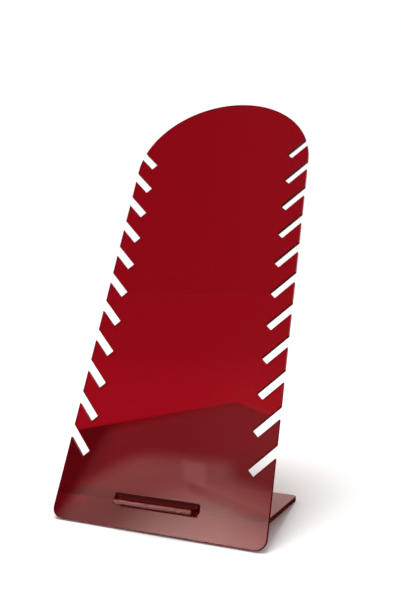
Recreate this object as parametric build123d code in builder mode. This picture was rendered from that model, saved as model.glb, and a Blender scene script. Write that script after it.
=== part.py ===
from build123d import *
from math import asin, atan2, ceil, cos, degrees, hypot, radians, sin, tan
import os

# Necklace stand in two flat pieces: a notched display panel that leans back, and a base plate
# whose tab plugs through a slot near the panel's lower edge. Sizes are in millimetres.
# X runs across the stand, the panel faces -Y and leans back towards +Y, and Z is up.

# Stock
sheet_thickness = 4.0  # both pieces are cut from one clear tinted acrylic sheet
stand_width = 180.0  # of both pieces, which are flush at the sides

# Display panel, with heights measured up its own face from the lower edge
panel_length = 427.0  # lower edge to the top of the crown
panel_lean = 27.0  # degrees back from upright
crown_rise = 78.0  # top of the half-ellipse crown above the ends of the straight sides
panel_corner_radius = 8.5  # lower corners

# Notches, in a row down each side
notch_width = 7.2
notch_depth = 29.3  # along the notch's upper edge, from the line of the panel's side
notch_angle = 45.0  # degrees below level, sloping down towards the middle
notch_pitch = 30.0
top_notch_rise = 27.0  # mouth of the top notch above the ends of the straight sides
lowest_mouth = 60.0  # no notch opens nearer to the lower edge than this

# Base plate
plate_depth = 100.0  # behind the panel, along the plate's top
plate_height = 23.6  # where the plate's top meets the panel's back, up the panel's face
plate_corner_radius = 6.0  # rear corners

# Tab on the base plate, and its slot through the panel
tab_width = 66.5
tab_reach = 8.8  # how far the tab stands out in front of the panel
tab_corner_radius = 1.0
slot_side_clearance = 3.25  # at each end of the slot
slot_clearance = 0.25  # under the tab, where it bears
slot_headroom = 2.1  # over the tab, so that it plugs in without force
slot_corner_radius = 2.0
shoulder_clearance = 0.1  # between the plate's shoulders and the panel's back

# Panel planes: the outline is drawn on the back face, and the sheet grows forward from it
half_width = stand_width / 2
lean = radians(panel_lean)
foot_y = (sheet_thickness * cos(lean) - panel_length * sin(lean)) / 2
panel_back = Plane(
    origin=(0, foot_y, 0), x_dir=(1, 0, 0), z_dir=(0, -cos(lean), sin(lean))
)

# Base plate slope: its lower rear edge comes down to the table, level with the panel's foot
seat_height = plate_height * cos(lean)
slope = asin(seat_height / hypot(plate_depth, sheet_thickness)) - atan2(sheet_thickness, plate_depth)
plate_top = Plane(
    origin=(0, foot_y + plate_height * sin(lean), seat_height),
    x_dir=(1, 0, 0),
    z_dir=(0, sin(slope), cos(slope)),
)

# The plate crosses the panel askew, so the slot is taller than the plate is thick
skew = lean - slope
slot_top = plate_height + slot_headroom
slot_bottom = (
    plate_height - sheet_thickness / cos(skew) - sheet_thickness * tan(skew) - slot_clearance
)
slot_height = slot_top - slot_bottom
slot_width = tab_width + 2 * slot_side_clearance
tab_length = sheet_thickness / cos(skew) + tab_reach

# Notch rows, counted down from the top notch to the last one that clears the foot
side_top = panel_length - crown_rise
top_mouth = side_top + top_notch_rise
notch_rows = ceil((top_mouth - lowest_mouth) / notch_pitch)
notch_mouths = [(half_width, top_mouth - row * notch_pitch) for row in range(notch_rows)]

os.makedirs("parts", exist_ok=True)

# Display panel: a flat sheet with a round crown, toothed sides and a slot for the tab
with BuildPart() as display_panel:
    with BuildSketch(panel_back) as panel_outline:
        with BuildLine():
            Polyline(
                (-half_width, side_top), (-half_width, 0), (half_width, 0), (half_width, side_top)
            )
            EllipticalCenterArc((0, side_top), half_width, crown_rise, arc_size=180)
        make_face()
        fillet(panel_outline.vertices().group_by(Axis.Y)[0], radius=panel_corner_radius)
    extrude(amount=sheet_thickness)
    with BuildSketch(panel_back):
        with Locations(*notch_mouths):
            Rectangle(
                2 * notch_depth,
                notch_width,
                rotation=notch_angle,
                align=(Align.CENTER, Align.MAX),
            )
        mirror(about=Plane.YZ)
    extrude(amount=sheet_thickness, mode=Mode.SUBTRACT)
    with BuildSketch(panel_back):
        with Locations((0, (slot_top + slot_bottom) / 2)):
            RectangleRounded(slot_width, slot_height, radius=slot_corner_radius)
    extrude(amount=sheet_thickness, mode=Mode.SUBTRACT)
display_panel.part.label = "display_panel"
export_step(display_panel.part, "parts/display_panel.step")

# Base plate: a flat sheet whose square shoulders stop on the panel's back, either side of the tab
with BuildPart() as base_plate:
    with BuildSketch(plate_top) as plate_outline:
        with Locations((0, shoulder_clearance)):
            Rectangle(stand_width, plate_depth - shoulder_clearance, align=(Align.CENTER, Align.MIN))
            Rectangle(tab_width, tab_length + shoulder_clearance, align=(Align.CENTER, Align.MAX))
        fillet(plate_outline.vertices().group_by(Axis.Y)[-1], radius=plate_corner_radius)
        fillet(plate_outline.vertices().group_by(Axis.Y)[0], radius=tab_corner_radius)
    extrude(amount=-sheet_thickness)
base_plate.part.label = "base_plate"
export_step(base_plate.part, "parts/base_plate.step")

print(f"base plate slope {degrees(slope):.3f} degrees, slot {slot_height:.2f} mm high")
print(f"notches on each side: {notch_rows}, lowest mouth at {notch_mouths[-1][1]:.1f} mm")
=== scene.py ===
"""Looks of a necklace stand: two plugged-together sheets of clear, dark red acrylic.

Lengths are in metres and angles in degrees unless a name says otherwise. The sheets are
modelled flat, with X across, Y up the sheet and Z out of its front, and are then stood
up in the stand's own frame, where X runs across, the panel faces -Y and Z is up.
"""

import logging
import math
from abc import ABC, abstractmethod
from collections.abc import Callable
from dataclasses import dataclass
from enum import Enum

import bpy
from mathutils import Matrix, Vector


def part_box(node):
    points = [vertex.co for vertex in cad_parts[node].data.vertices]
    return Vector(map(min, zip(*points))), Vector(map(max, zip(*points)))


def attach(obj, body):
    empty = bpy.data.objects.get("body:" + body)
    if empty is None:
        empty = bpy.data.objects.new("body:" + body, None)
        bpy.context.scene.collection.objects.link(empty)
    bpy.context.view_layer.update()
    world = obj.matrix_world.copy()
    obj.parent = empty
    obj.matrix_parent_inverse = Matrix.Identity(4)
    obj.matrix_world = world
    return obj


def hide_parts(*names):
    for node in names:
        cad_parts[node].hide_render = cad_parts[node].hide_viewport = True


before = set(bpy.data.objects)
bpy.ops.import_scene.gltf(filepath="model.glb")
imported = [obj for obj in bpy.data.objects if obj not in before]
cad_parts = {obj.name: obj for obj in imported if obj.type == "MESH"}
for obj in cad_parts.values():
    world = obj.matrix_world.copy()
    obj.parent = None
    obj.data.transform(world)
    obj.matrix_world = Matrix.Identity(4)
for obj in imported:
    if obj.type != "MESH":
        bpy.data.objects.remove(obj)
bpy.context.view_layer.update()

log = logging.getLogger("necklace_stand")

MM = 0.001
CUT_EDGE = "cut_edge"  # face attribute: 1 on a cut edge and 0 on a broad face
SQUARE_ON = 0.99  # a face whose normal has more than this of an axis looks along that axis
QUARTER_CIRCLE = 0.5  # bevel profile
# The tint of the painted reflections, which the floor and the walls show to glossy faces
MIRRORED_TINT = "FFCAC1"  # of all that the sheets mirror of the studio

# Settings of nodes that are used more than once
SMOOTH = {"interpolation_type": "SMOOTHSTEP"}
TIMES = {"operation": "MULTIPLY"}
PLUS = {"operation": "ADD"}
LARGER = {"operation": "MAXIMUM"}
MINUS_CLAMPED = {"operation": "SUBTRACT", "use_clamp": True}
SCALED = {"operation": "SCALE"}
COLOURS = {"data_type": "RGBA"}
COLOUR_A, COLOUR_B, COLOUR_OUT = 6, 7, 2  # the Mix node's colour sockets, by place

X_AXIS = Vector((1, 0, 0))
Y_AXIS = Vector((0, 1, 0))
Z_AXIS = Vector((0, 0, 1))


class RayKind(Enum):
    """Kinds of ray to which the studio shows itself in a way of its own."""

    CAMERA = "Is Camera Ray"
    GLOSSY = "Is Glossy Ray"
    TRANSMISSION = "Is Transmission Ray"


class MeshPart(Enum):
    """What is selected in a mesh: its collection there and Blender's select mode."""

    FACES = ("polygons", "FACE")
    EDGES = ("edges", "EDGE")


class Side(Enum):
    """The two sides of the panel, seen from the front, as signs of X."""

    LEFT = -1
    RIGHT = 1


def linear(hex_colour: str) -> tuple[float, float, float, float]:
    """Turns an sRGB hex colour into linear light.

    Args:
        hex_colour: Six hex digits, such as "7A1420".

    Returns:
        Linear red, green and blue, with an alpha of 1.
    """
    channels = []
    for start in (0, 2, 4):
        value = int(hex_colour[start:start + 2], 16) / 255
        channels.append(value / 12.92 if value <= 0.04045 else ((value + 0.055) / 1.055) ** 2.4)
    return (*channels, 1.0)


def add_node(tree: bpy.types.NodeTree, kind: str, settings: dict | None = None,
             inputs: dict | None = None) -> bpy.types.Node:
    """Adds one node with its settings and its input values or links.

    Args:
        tree: The node tree that gets the node.
        kind: Blender's name of the node type.
        settings: Values of the node's own properties.
        inputs: For each input, by name or place, a value or the output socket linked to it.

    Returns:
        The new node.
    """
    node = tree.nodes.new(kind)
    for name, value in (settings or {}).items():
        setattr(node, name, value)
    for name, value in (inputs or {}).items():
        if isinstance(value, bpy.types.NodeSocket):
            tree.links.new(value, node.inputs[name])
        else:
            node.inputs[name].default_value = value
    return node


def empty_tree(owner: bpy.types.Material | bpy.types.World) -> bpy.types.NodeTree:
    """Gives a material or a world a node tree with nothing in it.

    Args:
        owner: The material or the world.

    Returns:
        Its node tree.
    """
    owner.use_nodes = True
    owner.node_tree.nodes.clear()
    return owner.node_tree


def past_plane(tree: bpy.types.NodeTree, place: bpy.types.NodeSocket, normal: Vector,
               offset: float, soft: float) -> bpy.types.NodeSocket:
    """Adds the nodes that say, from 0 to 1, whether a point lies past a plane.

    Args:
        tree: The node tree that gets the nodes.
        place: The point.
        normal: The way from the near side of the plane to the far side.
        offset: The plane's distance from the origin along its normal.
        soft: Half the width of the change from 0 to 1.

    Returns:
        The socket with the answer.
    """
    along = add_node(tree, "ShaderNodeVectorMath", {"operation": "DOT_PRODUCT"}, {
        0: place, 1: tuple(normal)})
    return add_node(tree, "ShaderNodeMapRange", SMOOTH, {
        "Value": along.outputs["Value"],
        "From Min": offset - soft, "From Max": offset + soft}).outputs["Result"]


def make_active(piece: bpy.types.Object) -> None:
    """Selects one object alone, in object mode, and makes it the active one.

    Args:
        piece: The object.
    """
    if bpy.context.object and bpy.context.object.mode != "OBJECT":
        bpy.ops.object.mode_set(mode="OBJECT")
    bpy.ops.object.select_all(action="DESELECT")
    piece.select_set(True)
    bpy.context.view_layer.objects.active = piece


def select_in_mesh(piece: bpy.types.Object, part: MeshPart,
                   wanted: Callable[[bpy.types.bpy_struct], bool]) -> None:
    """Selects faces or edges of the active mesh by a test.

    Args:
        piece: The active object, in edit mode before and after.
        part: Whether faces or edges are selected.
        wanted: Takes one of them and says whether it is selected.
    """
    collection, mode = part.value
    bpy.ops.mesh.select_mode(type=mode)
    bpy.ops.mesh.select_all(action="DESELECT")
    bpy.ops.object.mode_set(mode="OBJECT")
    for element in getattr(piece.data, collection):
        element.select = bool(wanted(element))
    bpy.ops.object.mode_set(mode="EDIT")


def round_corners(piece: bpy.types.Object, at: Callable[[float], bool], radius: float,
                  steps: int) -> None:
    """Rounds those corners of a flat piece whose edges run through its thickness.

    Args:
        piece: The active object, in edit mode before and after.
        at: Takes a corner's Y and says whether it is rounded.
        radius: The corner's radius.
        steps: The number of flat steps in the round.
    """
    def is_corner(edge: bpy.types.MeshEdge) -> bool:
        """Says whether an edge is one of the corners."""
        one, other = (piece.data.vertices[index].co for index in edge.vertices)
        return abs(one.z - other.z) > MM and at(one.y)

    select_in_mesh(piece, MeshPart.EDGES, is_corner)
    bpy.ops.mesh.bevel(offset=radius, segments=steps, profile=QUARTER_CIRCLE)


def block(name: str, low: Vector, high: Vector) -> bpy.types.Object:
    """Adds a plain block, as a start for a piece or a cutter, with its place in its mesh.

    Args:
        name: The object's name.
        low: The block's lowest corner.
        high: Its highest corner.

    Returns:
        The block, alone selected and active.
    """
    bpy.ops.mesh.primitive_cube_add(size=1, location=(low + high) / 2, scale=high - low)
    solid = bpy.context.object
    solid.name = name
    make_active(solid)
    bpy.ops.object.transform_apply(location=True, rotation=True, scale=True)
    return solid


def apply_modifier(piece: bpy.types.Object, kind: str, **settings: object) -> None:
    """Adds one modifier with its settings and applies it at once.

    Args:
        piece: The object that gets the modifier.
        kind: Blender's name of the modifier type.
        **settings: Values of the modifier's properties.
    """
    make_active(piece)
    modifier = piece.modifiers.new(kind.title(), kind)
    for name, value in settings.items():
        setattr(modifier, name, value)
    bpy.ops.object.modifier_apply(modifier=modifier.name)


def cut(piece: bpy.types.Object, cutter: bpy.types.Object) -> None:
    """Cuts one solid out of another and removes the cutter."""
    apply_modifier(piece, "BOOLEAN", operation="DIFFERENCE", solver="EXACT", object=cutter)
    bpy.data.objects.remove(cutter, do_unlink=True)


@dataclass(frozen=True)
class Sheet:
    """The acrylic sheet that both pieces are cut from, and the finish of its cut edges."""

    thickness: float = 4 * MM
    edge_break: float = 0.3 * MM  # radius that polishing leaves along a cut edge
    break_steps: int = 3
    merge_below: float = 0.1  # faces that turn less than this lie in one plane
    ease_above: float = 30.0  # an edge that turns more than this is eased
    smooth_below: float = 32.0  # faces that turn less than this are shaded as one
    flat_pull: int = 90  # how strongly large flat faces keep the shading beside them flat

    def finish_edges(self, piece: bpy.types.Object) -> None:
        """Eases the cut edges, marks the cut faces and smooths the rounds.

        Args:
            piece: The flat sheet, still lying with its faces square to Z.
        """
        make_active(piece)
        bpy.ops.object.mode_set(mode="EDIT")
        bpy.ops.mesh.select_all(action="SELECT")
        bpy.ops.mesh.dissolve_limited(angle_limit=math.radians(self.merge_below))
        bpy.ops.object.mode_set(mode="OBJECT")
        apply_modifier(piece, "BEVEL", width=self.edge_break, segments=self.break_steps,
                       limit_method="ANGLE", angle_limit=math.radians(self.ease_above),
                       harden_normals=False)
        mask = piece.data.attributes.new(CUT_EDGE, "FLOAT", "FACE")
        for polygon in piece.data.polygons:
            mask.data[polygon.index].value = 0.0 if abs(polygon.normal.z) > SQUARE_ON else 1.0
        make_active(piece)
        bpy.ops.object.shade_smooth_by_angle(angle=math.radians(self.smooth_below))
        apply_modifier(piece, "WEIGHTED_NORMAL", mode="FACE_AREA", weight=self.flat_pull,
                       keep_sharp=True)


@dataclass(frozen=True)
class StandPlan:
    """What the two sheets share, and how the plate's tab plugs into the leaning panel.

    Heights are measured up the panel's own face from its lower edge.
    """

    sheet: Sheet = Sheet()
    width: float = 180 * MM  # of both sheets, which are flush at the sides
    panel_lean: float = 27.0  # back from upright
    plate_height: float = 23.6 * MM  # where the plate's top meets the panel's back
    plate_depth: float = 100 * MM  # behind the panel, along the plate's top
    tab_width: float = 66.5 * MM
    tab_reach: float = 8.8 * MM  # how far the tab stands out in front of the panel
    shoulder_gap: float = 0.1 * MM  # between the panel's back and the plate beside its tab
    slot_side_gap: float = 3.25 * MM  # at each end of the slot
    slot_gap: float = 0.25 * MM  # under the tab, where it bears
    slot_headroom: float = 2.1 * MM  # over the tab, so that it plugs in without force

    @property
    def half_width(self) -> float:
        """Half the width of both sheets."""
        return self.width / 2

    @property
    def lean(self) -> float:
        """The panel's lean back from upright, in radians."""
        return math.radians(self.panel_lean)

    @property
    def slope(self) -> float:
        """The plate's slope, in radians, at which its lower rear edge meets the table."""
        seat = self.plate_height * math.cos(self.lean)
        rise = math.asin(seat / math.hypot(self.plate_depth, self.sheet.thickness))
        return rise - math.atan2(self.sheet.thickness, self.plate_depth)

    @property
    def skew(self) -> float:
        """The angle, in radians, by which the sheets miss crossing square."""
        return self.lean - self.slope

    @property
    def slot_width(self) -> float:
        """The slot's length across the panel."""
        return self.tab_width + 2 * self.slot_side_gap

    @property
    def slot_top(self) -> float:
        """Height of the slot's upper edge."""
        return self.plate_height + self.slot_headroom

    @property
    def slot_bottom(self) -> float:
        """Height of the slot's lower edge, which makes room for the tab's slant."""
        slanted = self.sheet.thickness * (1 / math.cos(self.skew) + math.tan(self.skew))
        return self.plate_height - slanted - self.slot_gap

    @property
    def tab_length(self) -> float:
        """The tab's length in front of the panel's back, along its top."""
        return self.sheet.thickness / math.cos(self.skew) + self.tab_reach


@dataclass
class DisplayPanel:
    """The leaning panel: a round-topped sheet with toothed sides and a slot at its foot.

    Heights are measured up the panel's own face from its lower edge.
    """

    plan: StandPlan
    length: float = 427 * MM
    crown_rise: float = 78 * MM  # top of the half-oval crown above the straight sides
    crown_steps: int = 320  # round the whole oval
    corner_radius: float = 8.5 * MM
    corner_steps: int = 12
    notch_width: float = 7.2 * MM
    notch_depth: float = 29.3 * MM
    notch_angle: float = 45.0  # down towards the middle
    notch_pitch: float = 30 * MM
    top_notch_rise: float = 27 * MM  # of its mouth, above the ends of the straight sides
    lowest_mouth: float = 60 * MM  # no notch opens nearer to the foot than this
    slot_radius: float = 2 * MM
    slot_steps: int = 6

    @property
    def side_top(self) -> float:
        """Height at which the straight sides end and the crown starts."""
        return self.length - self.crown_rise

    @property
    def notch_mouths(self) -> list[float]:
        """Heights of the notches' upper edges on the line of the panel's side, top first."""
        top_mouth = self.side_top + self.top_notch_rise
        rows = math.ceil((top_mouth - self.lowest_mouth) / self.notch_pitch)
        return [top_mouth - row * self.notch_pitch for row in range(rows)]

    def stood_up(self) -> Matrix:
        """Works out where the panel stands.

        Returns:
            The turn and place that take the flat panel there.
        """
        low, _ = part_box("display_panel")
        lean = self.plan.lean
        foot = Vector((0, low.y + self.plan.sheet.thickness * math.cos(lean), low.z))
        return Matrix.Translation(foot) @ Matrix.Rotation(math.pi / 2 - lean, 4, "X")

    def blank(self) -> bpy.types.Object:
        """Models the outline as an oval cut down to its crown and drawn out to the foot.

        Returns:
            The plain round-topped sheet, lying flat on its back face.
        """
        thickness = self.plan.sheet.thickness
        bpy.ops.mesh.primitive_cylinder_add(
            vertices=self.crown_steps, radius=1, depth=1,
            location=(0, self.side_top, thickness / 2),
            scale=(self.plan.half_width, self.crown_rise, thickness))
        panel = bpy.context.object
        panel.name = "acrylic_display_panel"
        make_active(panel)
        bpy.ops.object.transform_apply(location=True, rotation=True, scale=True)
        bpy.ops.object.mode_set(mode="EDIT")
        bpy.ops.mesh.select_all(action="SELECT")
        bpy.ops.mesh.bisect(plane_co=(0, self.side_top, 0), plane_no=(0, -1, 0),
                            use_fill=True, clear_outer=True)
        select_in_mesh(panel, MeshPart.FACES, lambda face: face.normal.y < -SQUARE_ON)
        bpy.ops.mesh.extrude_region_move(
            TRANSFORM_OT_translate={"value": (0, -self.side_top, 0)})
        round_corners(panel, lambda y: y < 0.1 * MM, self.corner_radius, self.corner_steps)
        bpy.ops.object.mode_set(mode="OBJECT")
        return panel

    def notch_cutter(self, side: Side, mouth: float) -> bpy.types.Object:
        """Makes the block that cuts one notch.

        Args:
            side: The side of the panel that the notch opens to.
            mouth: Height of the notch's upper edge on the line of the panel's side.

        Returns:
            The cutter, longer than the notch where it leaves the panel.
        """
        deep = self.plan.sheet.thickness
        cutter = block("notch_cutter", Vector((-self.notch_depth, -self.notch_width, -deep)),
                       Vector((self.notch_depth, 0, 2 * deep)))
        if side is Side.LEFT:
            cutter.data.transform(Matrix.Diagonal((-1, 1, 1, 1)))
            cutter.data.flip_normals()
        turn = Matrix.Rotation(math.radians(side.value * self.notch_angle), 4, "Z")
        edge = side.value * self.plan.half_width
        cutter.data.transform(Matrix.Translation((edge, mouth, 0)) @ turn)
        return cutter

    def slot_cutter(self) -> bpy.types.Object:
        """Makes the round-cornered block that cuts the slot for the base plate's tab.

        Returns:
            The cutter, standing out of both faces of the panel.
        """
        deep = self.plan.sheet.thickness
        end = self.plan.slot_width / 2
        cutter = block("slot_cutter", Vector((-end, self.plan.slot_bottom, -deep)),
                       Vector((end, self.plan.slot_top, 2 * deep)))
        bpy.ops.object.mode_set(mode="EDIT")
        round_corners(cutter, lambda y: True, self.slot_radius, self.slot_steps)
        bpy.ops.object.mode_set(mode="OBJECT")
        return cutter

    def build(self) -> bpy.types.Object:
        """Models the whole panel and stands it in its place.

        Returns:
            The panel.
        """
        panel = self.blank()
        for mouth in self.notch_mouths:
            for side in Side:
                cut(panel, self.notch_cutter(side, mouth))
        cut(panel, self.slot_cutter())
        self.plan.sheet.finish_edges(panel)
        panel.data.transform(self.stood_up())
        return panel


@dataclass
class BasePlate:
    """The sloping plate behind the panel, with the tab that goes through the slot."""

    plan: StandPlan
    rear_radius: float = 6 * MM
    tab_radius: float = 1 * MM
    corner_steps: int = 10

    def stood_up(self) -> Matrix:
        """Works out where the plate lies.

        Returns:
            The turn and place that take the flat plate there.
        """
        low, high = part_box("base_plate")
        slope = self.plan.slope
        rear = Vector((0, high.y, low.z + self.plan.sheet.thickness * math.cos(slope)))
        front = rear - self.plan.plate_depth * Vector((0, math.cos(slope), -math.sin(slope)))
        return Matrix.Translation(front) @ Matrix.Rotation(-slope, 4, "X")

    def build(self) -> bpy.types.Object:
        """Models the plate flat, top up and tab forward, and slopes it into its place.

        Returns:
            The plate.
        """
        plan = self.plan
        plate = block("acrylic_base_plate",
                      Vector((-plan.half_width, plan.shoulder_gap, -plan.sheet.thickness)),
                      Vector((plan.half_width, plan.plate_depth, 0)))
        bpy.ops.object.mode_set(mode="EDIT")
        half_tab = plan.tab_width / 2
        for x in (-half_tab, half_tab):
            bpy.ops.mesh.select_all(action="SELECT")
            bpy.ops.mesh.bisect(plane_co=(x, 0, 0), plane_no=(1, 0, 0))
        select_in_mesh(plate, MeshPart.FACES, lambda face: (
            face.normal.y < -SQUARE_ON and abs(face.center.x) < half_tab))
        bpy.ops.mesh.extrude_region_move(
            TRANSFORM_OT_translate={"value": (0, -plan.tab_length - plan.shoulder_gap, 0)})
        round_corners(plate, lambda y: y > plan.plate_depth - MM, self.rear_radius,
                      self.corner_steps)
        round_corners(plate, lambda y: y < -MM, self.tab_radius, self.corner_steps)
        bpy.ops.object.mode_set(mode="OBJECT")
        plan.sheet.finish_edges(plate)
        plate.data.transform(self.stood_up())
        return plate


@dataclass(frozen=True)
class TintedAcrylic:
    """Cast acrylic sheet, dyed through, laser-cut and polished.

    The dye takes light along the whole way through the sheet, so the broad faces look a
    clear deep red and the cut edges, which are looked into along the sheet, nearly black.
    Casting leaves the faces glossy and almost flat, so they mirror straight lines with a
    slight waver. The laser leaves the cut edges a little duller, with fine ridges.
    """

    sheet: Sheet
    name: str = "cast_acrylic_ruby"
    ior: float = 1.49
    clearness: float = 0.85  # the rest of the light is scattered back in the body's colour
    body: str = "B21926"
    seen_through: str = "C88CA8"  # white paper behind one sheet, by the dye in its depth
    face_roughness: float = 0.01
    edge_roughness: float = 0.09
    waver_size: float = 45 * MM
    waver_height: float = 0.015 * MM
    waver_detail: float = 1.0
    waver_roughness: float = 0.4
    ridge_pitch: float = 0.5 * MM  # the real ridges, 0.1 mm apart, are too fine to show
    ridge_height: float = 0.01 * MM

    def dye(self) -> tuple[tuple[float, float, float, float], float]:
        """Works out the dye from the colour of white paper seen through one sheet.

        Returns:
            The colour and the density, per metre, of the absorption.
        """
        two_faces = (4 * self.ior / (self.ior + 1) ** 2) ** 2
        taken = [-math.log(level / two_faces) / self.sheet.thickness
                 for level in linear(self.seen_through)[:3]]
        density = max(taken)
        return (*(1 - share / density for share in taken), 1.0), density

    def surface(self, tree: bpy.types.NodeTree,
                edge: bpy.types.NodeSocket) -> bpy.types.NodeSocket:
        """Adds the nodes for the waver of the faces and the ridges of the cut edges.

        Args:
            tree: The material's node tree.
            edge: 1 on the cut edges and 0 on the broad faces.

        Returns:
            The socket with the surface's normal.
        """
        place = add_node(tree, "ShaderNodeTexCoord").outputs["Object"]
        waver = add_node(tree, "ShaderNodeTexNoise", inputs={
            "Vector": place, "Scale": 1 / self.waver_size,
            "Detail": self.waver_detail, "Roughness": self.waver_roughness})
        wavering = add_node(tree, "ShaderNodeBump", inputs={
            "Height": waver.outputs["Fac"], "Distance": self.waver_height, "Strength": 1.0})
        ridges = add_node(tree, "ShaderNodeTexNoise", inputs={
            "Vector": place, "Scale": 1 / self.ridge_pitch, "Detail": 0.0})
        on_edge = add_node(tree, "ShaderNodeMath", TIMES, {0: ridges.outputs["Fac"], 1: edge})
        return add_node(tree, "ShaderNodeBump", inputs={
            "Height": on_edge.outputs["Value"], "Distance": self.ridge_height,
            "Normal": wavering.outputs["Normal"]}).outputs["Normal"]

    def build(self) -> bpy.types.Material:
        """Builds the node tree.

        Returns:
            The material, for both sheets.
        """
        material = bpy.data.materials.new(self.name)
        tree = empty_tree(material)
        edge = add_node(tree, "ShaderNodeAttribute", {"attribute_name": CUT_EDGE}).outputs["Fac"]
        roughness = add_node(tree, "ShaderNodeMapRange", inputs={
            "Value": edge, "To Min": self.face_roughness, "To Max": self.edge_roughness})
        body = add_node(tree, "ShaderNodeBsdfPrincipled", inputs={
            "Base Color": linear(self.body), "Roughness": roughness.outputs["Result"],
            "IOR": self.ior, "Transmission Weight": self.clearness,
            "Normal": self.surface(tree, edge)})
        dye_colour, dye_density = self.dye()
        dye = add_node(tree, "ShaderNodeVolumeAbsorption", inputs={
            "Color": dye_colour, "Density": dye_density})
        add_node(tree, "ShaderNodeOutputMaterial", inputs={
            "Surface": body.outputs["BSDF"], "Volume": dye.outputs["Volume"]})
        return material


@dataclass(frozen=True)
class PaperFloor:
    """A floor of matt white paper: pale and even, with no gloss, so it takes soft shadows.

    The camera sees it plain. Glossy faces mirror it with painted shade close to the stand and
    paler far off, with a painted glow, a bright round patch in front that only glossy faces see.
    Through the sheets it shows a patch of painted shade, which gives the foot of the panel its
    darker field. Places are X and Y.
    """

    size: float = 30.0
    colour: str = "F4F3F2"
    seen: float = 1.05
    # As glossy faces mirror it: painted shade close to the stand, paler far off
    mirrored: tuple[float, float] = (0.03, 0.6)
    mirrored_from: tuple[float, float] = (0.35, 0.9)  # distance of the dim and the pale level
    # A painted reflection: a bright round patch in front, which glows for glossy faces only
    painted_glow_place: tuple[float, float] = (-0.17, -0.52)
    painted_glow_rim: tuple[float, float] = (0.08, 0.18)
    painted_glow_level: float = 6.0
    # Painted shade, which the floor shows only through the sheets: a patch behind the stand,
    # darker behind the plate and on the left
    patch_corners: tuple[tuple[float, float], ...] = (
        (-0.231, 0.158), (-0.089, 0.410), (0.006, 0.310))
    patch_soft: float = 0.008
    patch_levels: tuple[float, float] = (0.95, 0.42)  # below the plate and behind it
    patch_from: tuple[float, float] = (-0.04, 0.005)
    left_line: tuple[tuple[float, float], ...] = ((-0.189, 0.172), (-0.076, -0.086))
    left_soft: float = 0.02
    left_share: float = 0.16
    left_front: float = -0.13  # the left shade comes no further forward than this
    left_front_soft: float = 0.02
    past_patch: tuple[float, float] = (1.12, 0.9)
    past_patch_from: tuple[float, float] = (0.3, 1.2)

    @staticmethod
    def past_line(tree: bpy.types.NodeTree, place: bpy.types.NodeSocket,
                  start: tuple[float, float], end: tuple[float, float],
                  soft: float) -> bpy.types.NodeSocket:
        """Adds the nodes that say whether the floor lies past a line, seen from the stand.

        Args:
            tree: The floor's node tree.
            place: The point of the floor.
            start: X and Y of a point of the line.
            end: X and Y of another one.
            soft: Half the width of the change.

        Returns:
            The socket with 0 on the stand's side of the line and 1 past it.
        """
        on_line = Vector((*start, 0))
        normal = (Vector((*end, 0)) - on_line).cross(Z_AXIS).normalized()
        normal *= math.copysign(1, normal.dot(on_line))
        return past_plane(tree, place, normal, normal.dot(on_line), soft)

    def shown_through(self, tree: bpy.types.NodeTree,
                      place: bpy.types.NodeSocket) -> bpy.types.NodeSocket:
        """Adds the nodes for how bright the floor is through the sheets, with its painted shade.

        Args:
            tree: The floor's node tree.
            place: The point of the floor.

        Returns:
            The socket with the brightness.
        """
        back = add_node(tree, "ShaderNodeSeparateXYZ", inputs={"Vector": place}).outputs["Y"]
        past_patch = add_node(tree, "ShaderNodeMapRange", SMOOTH, {
            "Value": back,
            "From Min": self.past_patch_from[0], "From Max": self.past_patch_from[1],
            "To Min": self.past_patch[0], "To Max": self.past_patch[1]})
        # The patch of painted shade, lighter under the plate than behind it
        patch = add_node(tree, "ShaderNodeMapRange", SMOOTH, {
            "Value": back, "From Min": self.patch_from[0], "From Max": self.patch_from[1],
            "To Min": self.patch_levels[0], "To Max": self.patch_levels[1]})
        left = add_node(tree, "ShaderNodeMath", TIMES, {
            0: past_plane(tree, place, Y_AXIS, self.left_front, self.left_front_soft),
            1: self.past_line(tree, place, *self.left_line, self.left_soft)})
        left_share = add_node(tree, "ShaderNodeMapRange", inputs={
            "Value": left.outputs["Value"], "To Min": 1.0, "To Max": self.left_share})
        patch_shaded = add_node(tree, "ShaderNodeMath", TIMES, {
            0: patch.outputs["Result"], 1: left_share.outputs["Result"]})
        one, two, three = self.patch_corners
        outside = add_node(tree, "ShaderNodeMath", LARGER, {
            0: self.past_line(tree, place, one, two, self.patch_soft),
            1: self.past_line(tree, place, two, three, self.patch_soft)})
        return add_node(tree, "ShaderNodeMix", inputs={
            "Factor": outside.outputs["Value"], "A": patch_shaded.outputs["Value"],
            "B": past_patch.outputs["Result"]}).outputs["Result"]

    def shown_mirrored(self, tree: bpy.types.NodeTree,
                       place: bpy.types.NodeSocket) -> bpy.types.NodeSocket:
        """Adds the nodes for how bright the floor is in glossy faces, with its painted shade and
        glow.

        Args:
            tree: The floor's node tree.
            place: The point of the floor.

        Returns:
            The socket with the brightness.
        """
        away = add_node(tree, "ShaderNodeVectorMath", {"operation": "LENGTH"}, {0: place})
        # Painted shade: dim near the stand, paler far off
        paper = add_node(tree, "ShaderNodeMapRange", SMOOTH, {
            "Value": away.outputs["Value"],
            "From Min": self.mirrored_from[0], "From Max": self.mirrored_from[1],
            "To Min": self.mirrored[0], "To Max": self.mirrored[1]})
        from_painted_glow = add_node(tree, "ShaderNodeVectorMath", {"operation": "DISTANCE"}, {
            0: place, 1: (*self.painted_glow_place, 0)})
        painted_glow = add_node(tree, "ShaderNodeMapRange", SMOOTH, {
            "Value": from_painted_glow.outputs["Value"],
            "From Min": self.painted_glow_rim[0], "From Max": self.painted_glow_rim[1],
            "To Min": self.painted_glow_level, "To Max": 0.0})
        return add_node(tree, "ShaderNodeMath", PLUS, {
            0: paper.outputs["Result"], 1: painted_glow.outputs["Result"]}).outputs["Value"]

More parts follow.
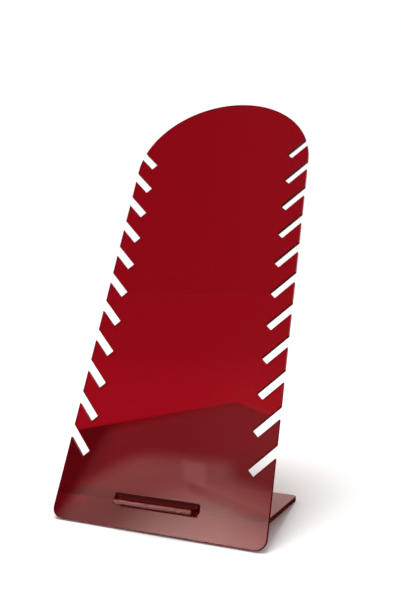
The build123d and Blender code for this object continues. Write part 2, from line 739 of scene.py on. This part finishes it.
    def paper(self) -> bpy.types.Material:
        """Builds the paper's node tree.

        Returns:
            The floor's material.
        """
        material = bpy.data.materials.new("matt_white_paper")
        tree = empty_tree(material)
        place = add_node(tree, "ShaderNodeTexCoord").outputs["Object"]
        rays = add_node(tree, "ShaderNodeLightPath").outputs
        seen = add_node(tree, "ShaderNodeMapRange", inputs={
            "Value": rays[RayKind.CAMERA.value], "To Min": 1.0, "To Max": self.seen})
        plain = add_node(tree, "ShaderNodeMix", inputs={
            "Factor": rays[RayKind.TRANSMISSION.value], "A": seen.outputs["Result"],
            "B": self.shown_through(tree, place)})
        # A ray that goes through a rough face counts as glossy too, and it isn't mirrored
        is_mirrored = add_node(tree, "ShaderNodeMath", MINUS_CLAMPED, {
            0: rays[RayKind.GLOSSY.value], 1: rays[RayKind.TRANSMISSION.value]}).outputs["Value"]
        level = add_node(tree, "ShaderNodeMix", inputs={
            "Factor": is_mirrored, "A": plain.outputs["Result"],
            "B": self.shown_mirrored(tree, place)})
        colour = add_node(tree, "ShaderNodeMix", COLOURS, {
            "Factor": is_mirrored, COLOUR_A: linear(self.colour),
            COLOUR_B: linear(MIRRORED_TINT)})
        shown = add_node(tree, "ShaderNodeVectorMath", SCALED, {
            0: colour.outputs[COLOUR_OUT], "Scale": level.outputs["Result"]})
        surface = add_node(tree, "ShaderNodeBsdfDiffuse", inputs={
            "Color": shown.outputs["Vector"]})
        add_node(tree, "ShaderNodeOutputMaterial", inputs={"Surface": surface.outputs["BSDF"]})
        return material

    def build(self) -> None:
        """Lays the floor."""
        bpy.ops.mesh.primitive_grid_add(x_subdivisions=2, y_subdivisions=2, size=self.size)
        floor = bpy.context.object
        floor.name = "studio_floor"
        floor.data.materials.append(self.paper())


class MirroredLight(ABC):
    """A painted reflection: a light or a dark bar of the surroundings, which only glossy faces
    see.
    """

    @staticmethod
    def direction(side: float, height: float) -> Vector:
        """Turns degrees to the left of straight ahead, and above level, into a direction."""
        turn, up = math.radians(side), math.radians(height)
        ahead = math.cos(up)
        return Vector((-math.sin(turn) * ahead, -math.cos(turn) * ahead, math.sin(up)))

    @abstractmethod
    def level(self, tree: bpy.types.NodeTree, way: bpy.types.NodeSocket) -> bpy.types.NodeSocket:
        """Adds the nodes that say how much the light adds in one direction.

        Args:
            tree: The world's node tree.
            way: The direction that is looked in.

        Returns:
            The socket with what it adds to the walls' brightness.
        """


@dataclass(frozen=True)
class Pane(MirroredLight):
    """A straight-sided painted light, whose corners are directions, as degrees left and up."""

    corners: tuple[tuple[float, float], ...]
    soft: float  # half the width of its rim
    # A glow below 0 paints shade into the reflection
    glow: float  # below 0 for a dark bar in front of the lights

    def level(self, tree: bpy.types.NodeTree, way: bpy.types.NodeSocket) -> bpy.types.NodeSocket:
        """Adds the nodes that say how much the pane adds in one direction.

        Args:
            tree: The world's node tree.
            way: The direction that is looked in.

        Returns:
            The socket with what it adds to the walls' brightness.
        """
        ends = [self.direction(*corner) for corner in self.corners]
        middle = sum(ends, Vector()) / len(ends)
        level = self.glow
        for here, there in zip(ends, ends[1:] + ends[:1]):
            normal = here.cross(there).normalized()
            normal *= math.copysign(1, normal.dot(middle))
            inside = past_plane(tree, way, normal, 0.0, math.radians(self.soft))
            level = add_node(tree, "ShaderNodeMath", TIMES, {0: inside, 1: level}).outputs["Value"]
        return level


@dataclass(frozen=True)
class Glow(MirroredLight):
    """A round painted light, whose middle is a direction, as degrees left and up."""

    side: float
    height: float
    rim: tuple[float, float]  # where its soft rim starts and ends, from the middle
    glow: float

    def level(self, tree: bpy.types.NodeTree, way: bpy.types.NodeSocket) -> bpy.types.NodeSocket:
        """Adds the nodes that say how much the glow adds in one direction.

        Args:
            tree: The world's node tree.
            way: The direction that is looked in.

        Returns:
            The socket with what it adds to the walls' brightness.
        """
        inner, outer = (math.cos(math.radians(angle)) for angle in self.rim)
        inside = past_plane(tree, way, self.direction(self.side, self.height),
                            (inner + outer) / 2, (inner - outer) / 2)
        return add_node(tree, "ShaderNodeMath", TIMES, {0: inside, 1: self.glow}).outputs["Value"]


@dataclass(frozen=True)
class StudioWalls:
    """The surroundings: white to the camera and through the sheets, and an even dim light.

    Glossy faces mirror them in another way, as painted reflections that light nothing: walls
    that darken upwards and to the left, a paler back wall with a patch of painted shade, and
    the painted lights, which draw the fields on the panel.
    Directions are shares of the X, Y and Z axes.
    """

    dome: float = 0.7
    wall_levels: tuple[float, float] = (0.4, 0.05)
    wall_heights: tuple[float, float] = (30.0, 50.0)
    left_share: float = 0.03
    left_from: tuple[float, float] = (-0.40, -0.18)
    back_level: float = 0.75
    back_from: float = 0.5
    back_soft: float = 0.3
    # Painted shade on the mirrored back wall, above level and to the left
    painted_dark_level: float = 0.03
    painted_dark_right_end: float = -0.29
    painted_dark_right_soft: float = 0.03
    painted_dark_height: float = 2.1
    painted_dark_height_soft: float = 0.006
    # Painted reflections, which light nothing
    lights: tuple[MirroredLight, ...] = (
        # The dim pane that fills the foot of the panel, up to the slanting line
        Pane(((36, 18), (35.3, 32.5), (22.3, 39.9), (8, 38.8), (2, 18)), soft=0.5, glow=0.3),
        # The brighter pane below it, the one to its right, and the pale upright field
        Pane(((36, 18), (35.1, 26.8), (31, 31.7), (20.6, 34.2), (18, 18)), soft=1.0, glow=1.6),
        Pane(((20.3, 33.0), (14.6, 32.6), (12, 18), (19, 18)), soft=0.7, glow=1.2),
        Pane(((26.2, 32.9), (23.5, 33.4), (22.6, 31.3), (25.2, 31.2)), soft=0.3, glow=0.9),
        # Painted shade: the dark bar across the bright lower right corner
        Pane(((24.6, 31.3), (22.9, 31.3), (15.0, 30.7), (16.0, 29.7), (24.2, 30.4)),
             soft=0.35, glow=-0.9),
        # The painted glow that brightens that corner, and the low one that paints a highlight on
        # the tab's end
        Glow(19.2, 20.9, rim=(3.0, 12.0), glow=6.6),
        Glow(25.0, 2.0, rim=(12.0, 20.0), glow=9.0))

    def walls(self, tree: bpy.types.NodeTree, way: bpy.types.NodeSocket) -> bpy.types.NodeSocket:
        """Adds the nodes for the mirrored walls, a painted reflection, without the lights.

        Args:
            tree: The world's node tree.
            way: The direction that is looked in.

        Returns:
            The socket with the walls' brightness.
        """
        parts = add_node(tree, "ShaderNodeSeparateXYZ", inputs={"Vector": way}).outputs
        low, high = (math.sin(math.radians(angle)) for angle in self.wall_heights)
        upwards = add_node(tree, "ShaderNodeMapRange", SMOOTH, {
            "Value": parts["Z"], "From Min": low, "From Max": high,
            "To Min": self.wall_levels[0], "To Max": self.wall_levels[1]})
        leftwards = add_node(tree, "ShaderNodeMapRange", SMOOTH, {
            "Value": parts["X"], "From Min": self.left_from[0], "From Max": self.left_from[1],
            "To Min": self.left_share, "To Max": 1.0})
        front = add_node(tree, "ShaderNodeMath", TIMES, {
            0: upwards.outputs["Result"], 1: leftwards.outputs["Result"]})
        in_painted_dark = add_node(tree, "ShaderNodeMath", TIMES, {
            0: past_plane(tree, way, -X_AXIS, -self.painted_dark_right_end, self.painted_dark_right_soft),
            1: past_plane(tree, way, Z_AXIS, math.sin(math.radians(self.painted_dark_height)),
                          self.painted_dark_height_soft)})
        back = add_node(tree, "ShaderNodeMix", inputs={
            "Factor": in_painted_dark.outputs["Value"], "A": self.back_level, "B": self.painted_dark_level})
        return add_node(tree, "ShaderNodeMix", inputs={
            "Factor": past_plane(tree, way, Y_AXIS, self.back_from, self.back_soft),
            "A": front.outputs["Value"], "B": back.outputs["Result"]}).outputs["Result"]

    def build(self) -> None:
        """Makes the world."""
        world = bpy.data.worlds.new("studio_walls")
        bpy.context.scene.world = world
        tree = empty_tree(world)
        way = add_node(tree, "ShaderNodeTexCoord").outputs["Generated"]
        bright = self.walls(tree, way)
        for light in self.lights:
            bright = add_node(tree, "ShaderNodeMath", PLUS, {
                0: bright, 1: light.level(tree, way)}).outputs["Value"]
        mirrored = add_node(tree, "ShaderNodeVectorMath", SCALED, {
            0: linear(MIRRORED_TINT)[:3], "Scale": bright})
        rays = add_node(tree, "ShaderNodeLightPath").outputs
        lit = add_node(tree, "ShaderNodeMix", COLOURS, {
            "Factor": rays[RayKind.GLOSSY.value],
            COLOUR_A: (self.dome, self.dome, self.dome, 1), COLOUR_B: mirrored.outputs["Vector"]})
        is_seen = add_node(tree, "ShaderNodeMath", LARGER, {
            0: rays[RayKind.CAMERA.value], 1: rays[RayKind.TRANSMISSION.value]})
        level = add_node(tree, "ShaderNodeMix", COLOURS, {
            "Factor": is_seen.outputs["Value"], COLOUR_A: lit.outputs[COLOUR_OUT],
            COLOUR_B: (1, 1, 1, 1)})
        glow = add_node(tree, "ShaderNodeBackground", inputs={
            "Color": level.outputs[COLOUR_OUT]})
        add_node(tree, "ShaderNodeOutputWorld", inputs={"Surface": glow.outputs["Background"]})


@dataclass(frozen=True)
class Diffuser:
    """The large soft lamp overhead, far off, so that it lights the whole floor evenly."""

    name: str = "overhead_diffuser"
    towards: tuple[float, float, float] = (0.12, 0.02, -1)
    spread: float = 28.0  # the angle that it fills in the sky
    strength: float = 1.95  # watts per square metre on a face square to it

    def build(self) -> None:
        """Hangs the lamp, which glossy faces don't mirror."""
        bpy.ops.object.light_add(type="SUN")
        lamp = bpy.context.object
        lamp.name = self.name
        lamp.data.angle = math.radians(self.spread)
        lamp.data.energy = self.strength
        lamp.rotation_euler = Vector(self.towards).to_track_quat("-Z", "Y").to_euler()
        lamp.visible_glossy = False


@dataclass(frozen=True)
class Viewpoint:
    """The camera at the photograph's angle: in front, to the right, and nearly level."""

    place: tuple[float, float, float] = (0.1901, -0.4887, 0.1891)
    tilt: float = -1.318  # above level
    turn: float = 20.926  # to the left of straight ahead
    lens_mm: float = 34.268
    sensor_mm: float = 36.0
    nearest: float = 10 * MM

    def build(self) -> None:
        """Sets up the camera."""
        bpy.ops.object.camera_add(
            location=self.place,
            rotation=(math.radians(90 + self.tilt), 0, math.radians(self.turn)))
        camera = bpy.context.object
        camera.data.sensor_width = self.sensor_mm
        camera.data.lens = self.lens_mm
        camera.data.clip_start = self.nearest
        bpy.context.scene.camera = camera


@dataclass(frozen=True)
class Studio:
    """All that surrounds the stand, and the camera that sees it."""

    floor: PaperFloor = PaperFloor()
    walls: StudioWalls = StudioWalls()
    diffuser: Diffuser = Diffuser()
    viewpoint: Viewpoint = Viewpoint()

    def build(self) -> None:
        """Sets up the whole studio."""
        for part in (self.floor, self.walls, self.diffuser, self.viewpoint):
            part.build()
        bpy.context.scene.view_settings.view_transform = "Standard"


def main() -> None:
    """Builds the stand's pieces, dresses them and sets up the studio."""
    plan = StandPlan()
    acrylic = TintedAcrylic(plan.sheet).build()
    pieces = (
        (DisplayPanel(plan).build(), "display_panel", "panel", "tinted_acrylic_panel"),
        (BasePlate(plan).build(), "base_plate", "base", "tinted_acrylic_base"),
    )
    for piece, node, body, slot in pieces:
        piece.data.materials.clear()
        piece.data.materials.append(acrylic)
        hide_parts(node)
        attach(piece, body)
        log.info("%s: %d faces", piece.name, len(piece.data.polygons))
    Studio().build()


if __name__ == "__main__":
    logging.basicConfig(level=logging.INFO)
    main()
